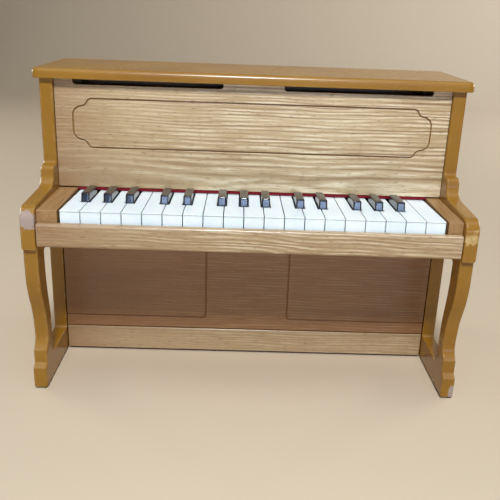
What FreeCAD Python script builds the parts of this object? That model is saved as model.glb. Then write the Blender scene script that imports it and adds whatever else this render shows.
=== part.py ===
import FreeCAD, Part
import math
import os

# Toy upright piano: a wooden cabinet, 32 plastic keys with hammers, and tuned metal tubes.
# Millimetres. X runs along the keyboard, -Y faces the player and +Z is up.
# The origin is on the floor, under the middle of the cabinet.

# Cabinet
width = 428.0
depth = 205.0
height = 302.0
foot_height = 2.0
foot_length = 30.0
foot_inset = 1.5
lid_thickness = 9.9
lid_depth = 121.0
lid_overhang = 6.0
lid_edge_round = 4.5
lid_corner_round = 7.0
side_thickness = 13.0
side_edge_chamfer = 1.1
panel_thickness = 6.0
panel_setback = 3.9
panel_end_gap = 0.8
upper_panel_end_gap = 0.25
back_thickness = 3.0
back_inset = 1.5
keybed_height = 150.0
keybed_thickness = 10.0
rail_height = 25.7
rail_floor_gap = 2.6
rail_chamfer = 0.8
rail_seam = 0.6
bottom_thickness = 6.0
slip_height = 22.6
slip_thickness = 6.0
slip_setback = 1.1
slip_round = 3.0
cleat = 10.0
cleat_top_gap = 18.0
overrun = 5.0

# Outline of a side board, from the post down over the arm and the leg to the plinth
post_setback = 5.7
shoulder_cove = 3.5
shoulder_flat = 4.5
shoulder_round = 6.0
arm_cove = 13.0
arm_rise = 6.2
arm_fall = 2.0
arm_drop = 2.2
nose_round = 13.0
leg_setback = 4.2
leg_straight = 20.0
leg_sweep = 16.3
leg_width = 21.8
ankle_height = 52.0
ankle_width = 14.5
bead_projection = 7.8
bead_top = 39.5
bead_bottom = 26.0
plinth_projection = 5.4
plinth_top = 22.5
window_drop = 7.8
window_sill = 26.5
window_reveal = 1.5
window_corner_round = 3.0

# Routed lines and sound slots of the panels
groove_width = 1.4
groove_depth = 1.5
outline_side_margin = 17.6
outline_top_margin = 18.9
outline_height = 48.1
scoop_radius = 7.0
scoop_inset = 7.5
scoop_drop = 0.5
top_horn_radius = 5.0
side_horn_radius = 9.0
slot_depth = 5.6
slot_centre_gap = 59.6
slot_side_margin = 18.7
slot_corner_round = 3.0
lower_line_spacing = 88.0
lower_line_height = 42.0
lower_line_round = 4.0

# Keyboard: whites in groups of four (F to B) and three (C to E), with blacks between them
key_groups = (4, 3, 4, 3, 4, 1)
left_cheek_width = 18.8
right_cheek_width = 13.8
cheek_gap = 2.1
cheek_clearance = 1.5
key_gap = 0.9
key_height = 15.6
key_fall = 3.1
key_dip = 6.0
key_wall = 2.0
slip_gap = 1.0
lip_overhang = 0.8
lip_thickness = 0.9
cap_run_in = 1.0
black_width = 8.4
black_top_width = 7.7
black_gap = 0.8
black_setback = 35.5
black_front_slope = 1.8
black_front_rise = 8.8
black_rear_rise = 8.0
black_rear_gap = 11.5
black_edge = 0.8
pocket_room = 5.0

# Key levers, hammers and what carries and stops them
pivot_setback = 16.9
pivot_height = 10.0
pivot_radius = 1.5
pivot_clearance = 0.05
rod_end = 4.0
lever_width = 6.4
lever_height = 11.0
lever_floor = 6.0
lever_overlap = 16.0
tail_length = 24.0
arm_depth = 5.0
arm_clearance = 3.0
hammer_drop = 46.0
hammer_height = 9.0
hammer_reach = 6.0
hammer_taper = 2.0
strike_gap = 0.5
comb_depth = 12.0
comb_base = 2.5
comb_gap = 1.0
fin_thickness = 2.0
fin_lap = 2.5
pivot_boss = 4.0
stop_felt = 2.0
stop_felt_depth = 10.0
stop_clearance = 0.2
rest_clearance = 0.1
name_felt = 3.4
name_felt_inset = 0.8
name_felt_clearance = 0.6
guide_base = 2.0
guide_margin = 3.0
tongue_height = 14.0
tongue_thickness = 3.0
tongue_clearance = 0.4
tongue_setback = 22.0
black_tongue_setback = 10.0
spring_thickness = 0.6
spring_base_depth = 8.0
tine_gap = 3.0
tine_width = 4.0
tine_clearance = 0.1

# Tuned tubes: free bars held at their two still points, 0.276 of the length from the middle
tube_radius = 3.1
tube_wall = 0.6
tube_foot_gap = 4.4
tube_clearance = 0.1
still_point_share = 0.276
half_steps_per_halving = 24
saddle_height = 8.0
saddle_back = 3.5
saddle_grip = 2.5
saddle_end = 8.0
board_thickness = 8.0
board_margin = 10.0
back_post_width = 12.0
screw_head_radius = 3.5
screw_head_height = 2.2
screw_radius = 1.6
screw_length = 14.0
screw_clearance = 0.1
small_round_sides = 8
shank_sides = 6
back_screw_height_shares = (0.08, 0.5, 0.92)
board_screw_height_share = 0.8

# Places that follow from those sizes
front = -depth / 2
rear = depth / 2
side_outer = width / 2 - lid_overhang
side_inner = side_outer - side_thickness
panel_half = side_inner - panel_end_gap
upper_panel_half = side_inner - upper_panel_end_gap
back_rear = rear - screw_head_height
side_rear = back_rear - back_thickness
lid_bottom = height - lid_thickness
lid_front = rear - lid_depth
post_front = lid_front + post_setback
panel_front = post_front + panel_setback
panel_back = panel_front + panel_thickness
leg_front = front + leg_setback
ankle_front = leg_front + leg_sweep
bead_front = ankle_front - bead_projection
plinth_front = bead_front - plinth_projection
keybed_top = keybed_height + keybed_thickness
arm_underside = keybed_height - arm_drop
leg_top = arm_underside - leg_straight
window_top = arm_underside - window_drop
rail_top = rail_floor_gap + rail_height
bottom_top = rail_floor_gap + bottom_thickness
slip_front = front + slip_setback
slip_back = slip_front + slip_thickness
key_front = slip_back + slip_gap
key_bottom = keybed_top + stop_felt + stop_clearance + key_dip
key_top = key_bottom + key_height
keyboard_left = left_cheek_width + cheek_gap - side_inner
keyboard_right = side_inner - right_cheek_width - cheek_gap
white_pitch = (keyboard_right - keyboard_left) / sum(key_groups)
black_front = key_front + black_setback
black_rear = panel_front - black_rear_gap
black_slot = black_width + 2 * black_gap
notch_front = black_front - black_gap
white_tongue_y = key_front + tongue_setback
black_tongue_y = black_front + black_tongue_setback
pocket_rear = black_tongue_y + tongue_thickness / 2 + pocket_room
cap_rear = panel_back + cap_run_in
panel_bottom = key_top - key_fall + name_felt_clearance + name_felt
pivot_y = panel_front + pivot_setback
pivot_z = keybed_top + pivot_height
lever_front = panel_front - lever_overlap
lever_bottom = keybed_top + lever_floor
lever_top = lever_bottom + lever_height
tail_end = pivot_y + tail_length
arm_front = tail_end - arm_depth
keybed_rear = arm_front - arm_clearance
press_angle = math.asin(key_dip / (pivot_y - key_front))
hammer_z = pivot_z - hammer_drop
hammer_nose = tail_end + hammer_reach
strike_travel = (hammer_drop + hammer_height / 2) * math.sin(press_angle)
strike_z = hammer_z + (hammer_nose - pivot_y) * math.sin(press_angle)
tube_y = hammer_nose + strike_travel + strike_gap + tube_radius
longest_tube = 2 * (strike_z - bottom_top - tube_foot_gap)
board_front = tube_y + tube_radius + saddle_back
board_back = board_front + board_thickness
board_half_height = still_point_share * longest_tube + saddle_height / 2 + board_margin
back_post_x = side_inner - back_post_width / 2


def point(x, y, z):
    return FreeCAD.Vector(x, y, z)


def box(x0, x1, y0, y1, z0, z1):
    return Part.makeBox(x1 - x0, y1 - y0, z1 - z0, point(x0, y0, z0))


def prism_along_x(outline, x0, x1):
    """Extrude a closed outline of (y, z) corners from x0 to x1."""
    corners = [point(x0, y, z) for y, z in outline]
    return Part.Face(Part.makePolygon(corners + corners[:1])).extrude(point(x1 - x0, 0, 0))


def prism_along_y(outline, y0, y1):
    """Extrude a closed outline of (x, z) corners from y0 to y1."""
    corners = [point(x, y0, z) for x, z in outline]
    return Part.Face(Part.makePolygon(corners + corners[:1])).extrude(point(0, y1 - y0, 0))


def rod_along_x(radius, x0, x1, y, z):
    return Part.makeCylinder(radius, x1 - x0, point(x0, y, z), point(1, 0, 0))


def flat_sided_bar(radius, start, along, sides=small_round_sides):
    """A small repeated round, made with a few flats that lie at radius from its middle line."""
    half_turn = math.pi / sides
    reach = radius / math.cos(half_turn)
    turns = [half_turn * (2 * number + 1) for number in range(sides)]
    corners = [point(reach * math.cos(turn), reach * math.sin(turn), 0) for turn in turns]
    bar = Part.Face(Part.makePolygon(corners + corners[:1])).extrude(point(0, 0, along.Length))
    bar.Placement = FreeCAD.Placement(start, FreeCAD.Rotation(point(0, 0, 1), along))
    return bar


def line(start, end):
    return Part.LineSegment(start, end).toShape()


def arc(start, end, centre):
    """The shorter arc from start to end about a centre."""
    radius = start.distanceToPoint(centre)
    towards = (start + end) * 0.5 - centre
    middle = centre + towards.normalize() * radius
    return Part.Arc(start, middle, end).toShape()


def one_solid(pieces):
    """Fuse pieces of one moulding or board and clean the seams."""
    return pieces[0].fuse(pieces[1:]).removeSplitter()


def edges_where(shape, wanted):
    return [edge for edge in shape.Edges if wanted(edge.BoundBox)]


def key_top_at(y):
    """Height of the white key tops, which fall a little towards the panel."""
    return key_top - key_fall * (y - key_front) / (panel_front - key_front)


def swept_edges(x, y, top, bottom, sweep):
    """An S of two equal arcs, upright at both ends, that goes back by sweep on the way down."""
    radius = ((top - bottom) ** 2 + sweep ** 2) / (4 * abs(sweep))
    turn = math.copysign(radius, sweep)
    start = point(x, y, top)
    middle = point(x, y + sweep / 2, (top + bottom) / 2)
    end = point(x, y + sweep, bottom)
    upper = arc(start, middle, point(x, y + turn, top))
    lower = arc(middle, end, point(x, y + sweep - turn, bottom))
    return [upper, lower]


# The cabinet

def side_outline(x):
    """Profile of a side board: post, shoulder, arm, nose, curved leg, bead and plinth."""
    cove_end = post_front - shoulder_cove
    flat_end = cove_end - shoulder_flat
    shoulder_front = flat_end - shoulder_round
    arm_start = shoulder_front - arm_cove
    arm_top = key_top + arm_rise
    shoulder_z = arm_top + arm_cove
    flat_z = shoulder_z + shoulder_round
    shoulder_height = flat_z + shoulder_cove
    nose_start = front + nose_round
    nose_top = arm_top - arm_fall
    nose_bottom = nose_top - nose_round
    cove_drop = ankle_height - bead_top
    cove_radius = (bead_projection ** 2 + cove_drop ** 2) / (2 * bead_projection)
    corners = {
        "rear_foot": point(x, side_rear, foot_height),
        "rear_top": point(x, side_rear, lid_bottom),
        "post_top": point(x, post_front, lid_bottom),
        "post_foot": point(x, post_front, shoulder_height),
        "cove": point(x, cove_end, flat_z),
        "flat": point(x, flat_end, flat_z),
        "shoulder": point(x, shoulder_front, shoulder_z),
        "arm": point(x, arm_start, arm_top),
        "nose_top": point(x, nose_start, nose_top),
        "nose": point(x, front, nose_bottom),
        "nose_foot": point(x, front, arm_underside),
        "leg": point(x, leg_front, arm_underside),
        "leg_top": point(x, leg_front, leg_top),
        "ankle": point(x, ankle_front, ankle_height),
        "bead_top": point(x, bead_front, bead_top),
        "bead_foot": point(x, bead_front, bead_bottom),
        "plinth_top": point(x, plinth_front, plinth_top),
        "plinth_foot": point(x, plinth_front, foot_height),
    }
    c = corners
    edges = [
        line(c["rear_foot"], c["rear_top"]),
        line(c["rear_top"], c["post_top"]),
        line(c["post_top"], c["post_foot"]),
        arc(c["post_foot"], c["cove"], point(x, cove_end, shoulder_height)),
        line(c["cove"], c["flat"]),
        arc(c["flat"], c["shoulder"], point(x, flat_end, shoulder_z)),
        arc(c["shoulder"], c["arm"], point(x, arm_start, shoulder_z)),
        line(c["arm"], c["nose_top"]),
        arc(c["nose_top"], c["nose"], point(x, nose_start, nose_bottom)),
        line(c["nose"], c["nose_foot"]),
        line(c["nose_foot"], c["leg"]),
        line(c["leg"], c["leg_top"]),
    ]
    edges += swept_edges(x, leg_front, leg_top, ankle_height, leg_sweep)
    edges += [
        arc(c["ankle"], c["bead_top"], point(x, ankle_front - cove_radius, ankle_height)),
        line(c["bead_top"], c["bead_foot"]),
        line(c["bead_foot"], c["plinth_top"]),
        line(c["plinth_top"], c["plinth_foot"]),
        line(c["plinth_foot"], c["rear_foot"]),
    ]
    return Part.Face(Part.Wire(edges))


def window_outline(x):
    """Opening behind the leg: its front edge keeps to the leg's curve."""
    window_front = leg_front + leg_width
    foot_front = ankle_front + ankle_width
    window_rear = panel_front - window_reveal
    high_front = point(x, window_front, window_top)
    high_rear = point(x, window_rear, window_top)
    low_rear = point(x, window_rear, window_sill)
    low_front = point(x, foot_front, window_sill)
    sweep = foot_front - window_front
    edges = [line(high_front, high_rear), line(high_rear, low_rear), line(low_rear, low_front)]
    edges += [line(low_front, point(x, foot_front, ankle_height))]
    edges += swept_edges(x, window_front, leg_top, ankle_height, sweep)
    edges += [line(point(x, window_front, leg_top), high_front)]
    return Part.Face(Part.Wire(Part.sortEdges(edges)[0]))


def side_board(x0, x1):
    along = point(x1 - x0, 0, 0)
    board = side_outline(x0).extrude(along)
    rims = edges_where(board, lambda b: b.XLength < side_edge_chamfer and b.ZMax < lid_bottom)
    window = window_outline(x0).extrude(along)
    corners = edges_where(window, lambda b: b.XLength > side_thickness / 2 and corner_of_window(b))
    window = window.makeFillet(window_corner_round, corners)
    return board.makeChamfer(side_edge_chamfer, rims).cut(window)


def corner_of_window(b):
    """True at the sharp corners along the window's top and sill."""
    return min(abs(b.ZMin - window_top), abs(b.ZMin - window_sill)) < window_corner_round


def lid():
    half = width / 2
    board = box(-half, half, lid_front, rear, lid_bottom, height)
    uprights = edges_where(board, lambda b: b.ZLength > lid_thickness / 2)
    corners = [edge for edge in uprights if edge.BoundBox.YMax < rear - lid_corner_round]
    board = board.makeFillet(lid_corner_round, corners)
    top_edges = edges_where(board, lambda b: b.ZMin > height - lid_edge_round)
    rims = [edge for edge in top_edges if edge.BoundBox.YMin < rear - lid_edge_round]
    return board.makeFillet(lid_edge_round, rims)


def scooped_outline(spread):
    """Face inside the routed outline: a rectangle with scooped corners, grown by spread."""
    half = side_inner - outline_side_margin
    top = lid_bottom - outline_top_margin
    middle = top - outline_height / 2
    along = math.sqrt((scoop_radius + top_horn_radius) ** 2 - (top_horn_radius - scoop_drop) ** 2)
    down = math.sqrt((scoop_radius + side_horn_radius) ** 2 - (side_horn_radius - scoop_inset) ** 2)
    scoop = point(half - scoop_inset, panel_front, top - scoop_drop)
    top_horn = point(scoop.x - along, panel_front, top - top_horn_radius)
    side_horn = point(half - side_horn_radius, panel_front, scoop.z - down)
    start = point(0, panel_front, top + spread)
    line_end = top_horn + point(0, 0, top_horn_radius + spread)
    scoop_start = scoop + (top_horn - scoop).normalize() * (scoop_radius - spread)
    scoop_end = scoop + (side_horn - scoop).normalize() * (scoop_radius - spread)
    side_start = side_horn + point(side_horn_radius + spread, 0, 0)
    side_middle = point(half + spread, panel_front, middle)
    quarter = Part.Wire([
        line(start, line_end),
        arc(line_end, scoop_start, top_horn),
        arc(scoop_start, scoop_end, scoop),
        arc(scoop_end, side_start, side_horn),
        line(side_start, side_middle),
    ])
    upper = [quarter, quarter.mirror(point(0, 0, 0), point(1, 0, 0))]
    lower = [wire.mirror(side_middle, point(0, 0, 1)) for wire in upper]
    edges = [edge for wire in upper + lower for edge in wire.Edges]
    return Part.Face(Part.Wire(Part.sortEdges(edges)[0]))


def upper_panel():
    half = upper_panel_half
    panel = box(-half, half, panel_front, panel_back, panel_bottom, lid_bottom)
    into = point(0, groove_depth, 0)
    ring = scooped_outline(groove_width / 2).cut(scooped_outline(-groove_width / 2))
    panel = panel.cut(ring.extrude(into))
    for side in (-1, 1):
        inner = side * slot_centre_gap / 2
        outer = side * (side_inner - slot_side_margin)
        slot = box(
            min(inner, outer), max(inner, outer),
            panel_front - overrun, panel_back + overrun,
            lid_bottom - slot_depth, lid_bottom + overrun,
        )
        corners = edges_where(slot, lambda b: b.YLength > panel_thickness and b.ZMax < lid_bottom)
        panel = panel.cut(slot.makeFillet(slot_corner_round, corners))
    return panel


def lower_panel():
    panel = box(-panel_half, panel_half, panel_front, panel_back, rail_top + rail_seam, keybed_height)
    lower_edge = edges_where(panel, lambda b: b.YMax < panel_back and b.ZMax < keybed_height - rail_height)
    lower_edge = [edge for edge in lower_edge if edge.BoundBox.XLength > panel_half]
    panel = panel.makeChamfer(rail_chamfer, lower_edge)
    for side in (-1, 1):
        panel = panel.cut(lower_line(side))
    return panel


def lower_line(side):
    """Routed line down the panel that turns outwards and runs to its edge."""
    inner = side * lower_line_spacing / 2
    outer = side * (side_inner + overrun)
    bars = []
    for spread in (groove_width / 2, -groove_width / 2):
        near = inner - side * spread
        slab = box(
            min(near, outer), max(near, outer),
            panel_front, panel_front + groove_depth,
            lower_line_height - spread, keybed_height + overrun,
        )
        corner = edges_where(
            slab,
            lambda b: b.YLength > groove_depth / 2
            and b.ZMax < lower_line_height + groove_width
            and abs(b.XMax - near) < groove_width,
        )
        bars.append(slab.makeFillet(lower_line_round + spread, corner))
    return bars[0].cut(bars[1])


def bottom_rail():
    rail = box(-panel_half, panel_half, panel_front, panel_back, rail_floor_gap, rail_top)
    seam = edges_where(rail, lambda b: b.YMax < panel_back and b.ZMin > rail_top - rail_chamfer)
    seam = [edge for edge in seam if edge.BoundBox.XLength > panel_half]
    return rail.makeChamfer(rail_chamfer, seam)


def key_slip():
    slip = box(-panel_half, panel_half, slip_front, slip_back, keybed_height, keybed_height + slip_height)
    rims = edges_where(slip, lambda b: b.XLength > panel_half and b.YMax < slip_back)
    return slip.makeFillet(slip_round, rims)


def cheek_block(x0, x1):
    rear_top = panel_bottom - cheek_clearance
    outline = [
        (key_front, keybed_top),
        (key_front, key_top),
        (panel_back, rear_top),
        (panel_back, keybed_top),
    ]
    return prism_along_x(outline, x0, x1)


def feet():
    pads = []
    for side in (-1, 1):
        edges = sorted((side * (side_inner + foot_inset), side * (side_outer - foot_inset)))
        front_pad = plinth_front + foot_inset
        rear_pad = side_rear - foot_inset - foot_length
        pads += [box(*edges, y, y + foot_length, 0, foot_height) for y in (front_pad, rear_pad)]
    return Part.makeCompound(pads)


def pair(piece):
    """A piece on the right and its mirror image on the left."""
    return Part.makeCompound([piece, piece.mirror(point(0, 0, 0), point(1, 0, 0))])


def panel_cleats(bottom, top):
    return pair(box(side_inner - cleat, side_inner, panel_back, panel_back + cleat, bottom, top))


# Screws, and the holes they sit in

def back_screw_places():
    rise = lid_bottom - bottom_top
    heights = [bottom_top + rise * share for share in back_screw_height_shares]
    return [(side * back_post_x, z) for side in (-1, 1) for z in heights]


def board_screw_places():
    reach = board_half_height * board_screw_height_share
    return [(side * back_post_x, strike_z + sign * reach) for side in (-1, 1) for sign in (-1, 1)]


def drilled(shape, places, y0, y1):
    radius = screw_radius + screw_clearance
    through = point(0, y1 - y0, 0)
    holes = [flat_sided_bar(radius, point(x, y0, z), through, shank_sides) for x, z in places]
    return shape.cut(holes)


def screws(places, seat, into):
    """Round-head screws on a face at y = seat, with their shanks going the way of into (1 or -1)."""
    made = []
    for x, z in places:
        foot = point(x, seat, z)
        head = flat_sided_bar(screw_head_radius, foot, point(0, -into * screw_head_height, 0))
        shank = flat_sided_bar(screw_radius, foot, point(0, into * screw_length, 0), shank_sides)
        made.append(one_solid([head, shank]))
    return made


def cabinet_screws():
    """Those of the tube board, from the front, and those of the back board, from behind."""
    inner = screws(board_screw_places(), board_front, 1)
    return Part.makeCompound(inner + screws(back_screw_places(), back_rear, -1))


def back_board():
    half = side_outer - back_inset
    board = box(-half, half, side_rear, back_rear, foot_height + back_inset, lid_bottom)
    return drilled(board, back_screw_places(), side_rear - overrun, rear + overrun)


def back_posts():
    hole = screw_length + screw_clearance
    posts = pair(box(
        side_inner - back_post_width, side_inner, board_back, side_rear, bottom_top, lid_bottom,
    ))
    posts = drilled(posts, back_screw_places(), back_rear - hole, rear)
    return drilled(posts, board_screw_places(), front, board_front + hole)


# Keys: one moulding each, from the finger end over the pivot to the hammer

def lever_and_hammer(x):
    """Side profile of what is behind the panel: lever, tail, hanging arm and hammer head."""
    head_bottom = hammer_z - hammer_height / 2
    head_top = hammer_z + hammer_height / 2
    outline = [
        (lever_front, lever_bottom),
        (lever_front, lever_top),
        (tail_end, lever_top),
        (tail_end, head_top),
        (hammer_nose, head_top - hammer_taper),
        (hammer_nose, head_bottom + hammer_taper),
        (arm_front + hammer_taper, head_bottom),
        (arm_front, lever_bottom),
    ]
    half = lever_width / 2
    return prism_along_x(outline, x - half, x + half)


def pivot_bore(x0, x1):
    """Eight-sided bore: the rod runs on its flats."""
    radius = pivot_radius + pivot_clearance
    return flat_sided_bar(radius, point(x0, pivot_y, pivot_z), point(x1 - x0, 0, 0))


def white_key(left, right, neck_left, neck_right):
    """A hollow white key with a lip, notched beside the black keys next to it."""
    face = key_front + lip_overhang
    outline = [
        (key_front, key_top),
        (cap_rear, key_top_at(cap_rear)),
        (cap_rear, key_bottom),
        (face, key_bottom),
        (face, key_top - lip_thickness),
        (key_front, key_top - lip_thickness),
    ]
    cap = prism_along_x(outline, left, right)
    low = key_bottom - overrun
    high = key_top + overrun
    back = cap_rear + overrun
    if neck_left > left:
        cap = cap.cut(box(left - overrun, neck_left, notch_front, back, low, high))
    if neck_right < right:
        cap = cap.cut(box(neck_right, right + overrun, notch_front, back, low, high))
    hollow = box(
        left + key_wall, right - key_wall,
        face + key_wall, notch_front - key_wall,
        low, key_top_at(notch_front) - key_wall,
    )
    middle = (neck_left + neck_right) / 2
    key = one_solid([cap.cut(hollow), lever_and_hammer(middle)])
    return key.cut(pivot_bore(middle - lever_width, middle + lever_width))


def black_key(middle):
    """A black key with a sloped front, drafted sides and a top that falls to the panel."""
    crest = black_front + black_front_slope
    crest_z = key_top_at(crest) + black_front_rise
    outline = [
        (black_front, key_bottom),
        (black_front, key_top_at(black_front)),
        (crest, crest_z),
        (black_rear, key_top_at(black_rear) + black_rear_rise),
        (black_rear, key_bottom),
    ]
    base = black_width / 2
    top = black_top_width / 2
    draft = [
        (middle - base, key_bottom),
        (middle - top, crest_z),
        (middle + top, crest_z),
        (middle + base, key_bottom),
    ]
    cap = prism_along_x(outline, middle - base, middle + base)
    cap = cap.common(prism_along_y(draft, black_front, black_rear))
    at_front = edges_where(cap, lambda b: b.YMax < crest + black_edge)
    rim = [edge for edge in at_front if edge.BoundBox.ZLength > black_edge]
    rim += [edge for edge in at_front if edge.BoundBox.ZMin > crest_z - black_edge]
    rim += edges_where(cap, lambda b: b.ZMin > key_top and b.YLength > black_width)
    cap = cap.makeChamfer(black_edge, rim)
    pocket_front = crest + key_wall
    hollow = box(
        middle - base + key_wall, middle + base - key_wall,
        pocket_front, pocket_rear,
        key_bottom - overrun, key_top_at(pocket_front) - key_wall,
    )
    key = one_solid([cap.cut(hollow), lever_and_hammer(middle)])
    return key.cut(pivot_bore(middle - lever_width, middle + lever_width))


def keyboard():
    """Every key from left to right: its name, its lever's middle, its solid and its kind."""
    keys = []
    group_left = keyboard_left
    whites = 0
    blacks = 0
    for count in key_groups:
        span = count * white_pitch
        neck = (span - (count - 1) * black_slot) / count
        for place in range(count):
            left = group_left + place * white_pitch + key_gap / 2
            right = left + white_pitch - key_gap
            neck_left = group_left + place * (neck + black_slot)
            neck_right = neck_left + neck
            ends = max(left, neck_left), min(right, neck_right)
            whites += 1
            solid = white_key(left, right, *ends)
            keys.append((f"white_key_{whites:02d}", sum(ends) / 2, solid))
            if place < count - 1:
                blacks += 1
                middle = neck_right + black_slot / 2
                keys.append((f"black_key_{blacks:02d}", middle, black_key(middle)))
        group_left += span
    return keys


# What carries, guides, stops and returns the keys

def pivot_comb(middles):
    """Rail with a fin between every two levers. Fins at the ends of each group hold the rod."""
    base_front = pivot_y - comb_depth / 2
    base_rear = pivot_y + comb_depth / 2
    base_top = keybed_top + comb_base
    edge = lever_width / 2 + comb_gap + fin_thickness / 2
    places = [middles[0] - edge]
    places += [(a + b) / 2 for a, b in zip(middles, middles[1:])]
    places += [middles[-1] + edge]
    ends = [sum(2 * count - 1 for count in key_groups[:group]) for group in range(len(key_groups) + 1)]
    half = fin_thickness / 2
    pieces = [box(places[0] - half, places[-1] + half, base_front, base_rear, keybed_top, base_top)]
    for number, x in enumerate(places):
        top = pivot_z + pivot_boss if number in ends else lever_bottom + fin_lap
        reach = pivot_boss if number in ends else comb_depth / 2
        pieces.append(box(x - half, x + half, pivot_y - reach, pivot_y + reach, keybed_top, top))
    return one_solid(pieces).cut(pivot_bore(-side_inner, side_inner))


def pivot_rod(middles):
    reach = lever_width / 2 + comb_gap + fin_thickness + rod_end
    return rod_along_x(pivot_radius, middles[0] - reach, middles[-1] + reach, pivot_y, pivot_z)


def key_guide_rail(keys):
    """Rail on the keybed with a tongue that stands inside each key."""
    half = tongue_thickness / 2
    top = keybed_top + tongue_height
    white = (white_tongue_y - half, white_tongue_y + half, keybed_top, top)
    black = (black_tongue_y - half, black_tongue_y + half, keybed_top, top)
    base = box(
        keyboard_left, keyboard_right,
        white_tongue_y - half - guide_margin, black_tongue_y + half + guide_margin,
        keybed_top, keybed_top + guide_base,
    )
    tongues = []
    for name, middle, solid in keys:
        side = key_wall + tongue_clearance
        if name.startswith("white"):
            left = solid.BoundBox.XMin + side
            right = solid.BoundBox.XMax - side
            tongues.append(box(left, right, *white))
        else:
            reach = black_width / 2 - side
            tongues.append(box(middle - reach, middle + reach, *black))
    return one_solid([base] + tongues)


def return_spring_comb(middles):
    """Spring strip whose tines reach under the keys, to just behind the black keys' pockets."""
    base_rear = pivot_y - comb_depth / 2 - comb_gap
    base_front = base_rear - spring_base_depth
    tip = pocket_rear + tine_gap
    tip_z = key_bottom - tine_clearance
    half = tine_width / 2
    pieces = [box(
        middles[0] - half, middles[-1] + half,
        base_front, base_rear, keybed_top, keybed_top + spring_thickness,
    )]
    outline = [
        (base_front, keybed_top),
        (base_front, keybed_top + spring_thickness),
        (tip, tip_z),
        (tip, tip_z - spring_thickness),
    ]
    pieces += [prism_along_x(outline, x - half, x + half) for x in middles]
    return one_solid(pieces)


def front_stop_felt():
    return box(
        keyboard_left, keyboard_right, key_front, key_front + stop_felt_depth,
        keybed_top, keybed_top + stop_felt,
    )


def rear_rest_felt():
    start = pivot_y + comb_depth / 2 + comb_gap
    return box(
        keyboard_left, keyboard_right, start, keybed_rear, keybed_top, lever_bottom - rest_clearance,
    )


def nameboard_felt():
    return box(
        keyboard_left - cheek_gap, keyboard_right + cheek_gap,
        panel_front + name_felt_inset, panel_back,
        panel_bottom - name_felt, panel_bottom,
    )


# Tuned tubes and what holds them

def tube_lengths(middles):
    return [longest_tube * 2 ** (-step / half_steps_per_halving) for step in range(len(middles))]


def tone_tubes(middles):
    tubes = []
    for x, length in zip(middles, tube_lengths(middles)):
        foot = point(x, tube_y, strike_z - length / 2)
        outer = flat_sided_bar(tube_radius, foot, point(0, 0, length))
        tubes.append(outer.cut(flat_sided_bar(tube_radius - tube_wall, foot, point(0, 0, length))))
    return Part.makeCompound(tubes)


def upper_tube_saddle(middles):
    """Foam strip through the tubes' upper still points, slotted from the front for each tube."""
    lengths = tube_lengths(middles)
    centre = len(middles) // 2
    line_x = [middles[0] - saddle_end, middles[centre], middles[-1] + saddle_end]
    line_z = [strike_z + still_point_share * lengths[k] for k in (0, centre, -1)]
    low = [(x, z - saddle_height / 2) for x, z in zip(line_x, line_z)]
    high = [(x, z + saddle_height / 2) for x, z in zip(line_x, line_z)]
    strip = prism_along_y(low + high[::-1], tube_y - saddle_grip, board_front)
    half = tube_radius + tube_clearance
    slots = [
        box(x - half, x + half, tube_y - tube_radius - overrun, tube_y + half, strike_z, lid_bottom)
        for x in middles
    ]
    return strip.cut(slots)


def tube_board():
    board = box(
        -side_inner, side_inner, board_front, board_back,
        strike_z - board_half_height, strike_z + board_half_height,
    )
    return drilled(board, board_screw_places(), board_front - overrun, board_back + overrun)


# The whole assembly

os.makedirs("parts", exist_ok=True)
keys = keyboard()
middles = [middle for name, middle, solid in keys]
upper_saddle = upper_tube_saddle(middles)
nodes = {
    "lid": lid(),
    "left_side_board": side_board(-side_outer, -side_inner),
    "right_side_board": side_board(side_inner, side_outer),
    "upper_panel": upper_panel(),
    "lower_panel": lower_panel(),
    "bottom_rail": bottom_rail(),
    "bottom_board": box(-side_inner, side_inner, panel_back, side_rear, rail_floor_gap, bottom_top),
    "back_board": back_board(),
    "back_posts": back_posts(),
    "upper_panel_cleats": panel_cleats(panel_bottom, lid_bottom - cleat_top_gap),
    "lower_panel_cleats": panel_cleats(bottom_top, keybed_height),
    "feet": feet(),
    "keybed": box(-side_inner, side_inner, slip_back, keybed_rear, keybed_height, keybed_top),
    "key_slip": key_slip(),
    "left_cheek_block": cheek_block(-side_inner, keyboard_left - cheek_gap),
    "right_cheek_block": cheek_block(keyboard_right + cheek_gap, side_inner),
    "nameboard_felt": nameboard_felt(),
    "pivot_comb": pivot_comb(middles),
    "pivot_rod": pivot_rod(middles),
    "key_guide_rail": key_guide_rail(keys),
    "front_stop_felt": front_stop_felt(),
    "rear_rest_felt": rear_rest_felt(),
    "return_spring_comb": return_spring_comb(middles),
    "tone_tubes": tone_tubes(middles),
    "upper_tube_saddle": upper_saddle,
    "lower_tube_saddle": upper_saddle.mirror(point(0, 0, strike_z), point(0, 0, 1)),
    "tube_board": tube_board(),
    "cabinet_screws": cabinet_screws(),
}
nodes.update({name: solid for name, middle, solid in keys})
for name, shape in nodes.items():
    shape.exportStep(f"parts/{name}.step")
press_degrees = math.degrees(press_angle)
print(f"{len(nodes)} pieces, keys turn {press_degrees:.3f} degrees about y {pivot_y:.3f}, z {pivot_z:.3f}")
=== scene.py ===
import math

import bmesh
import bpy
from mathutils import Matrix, Vector


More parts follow.
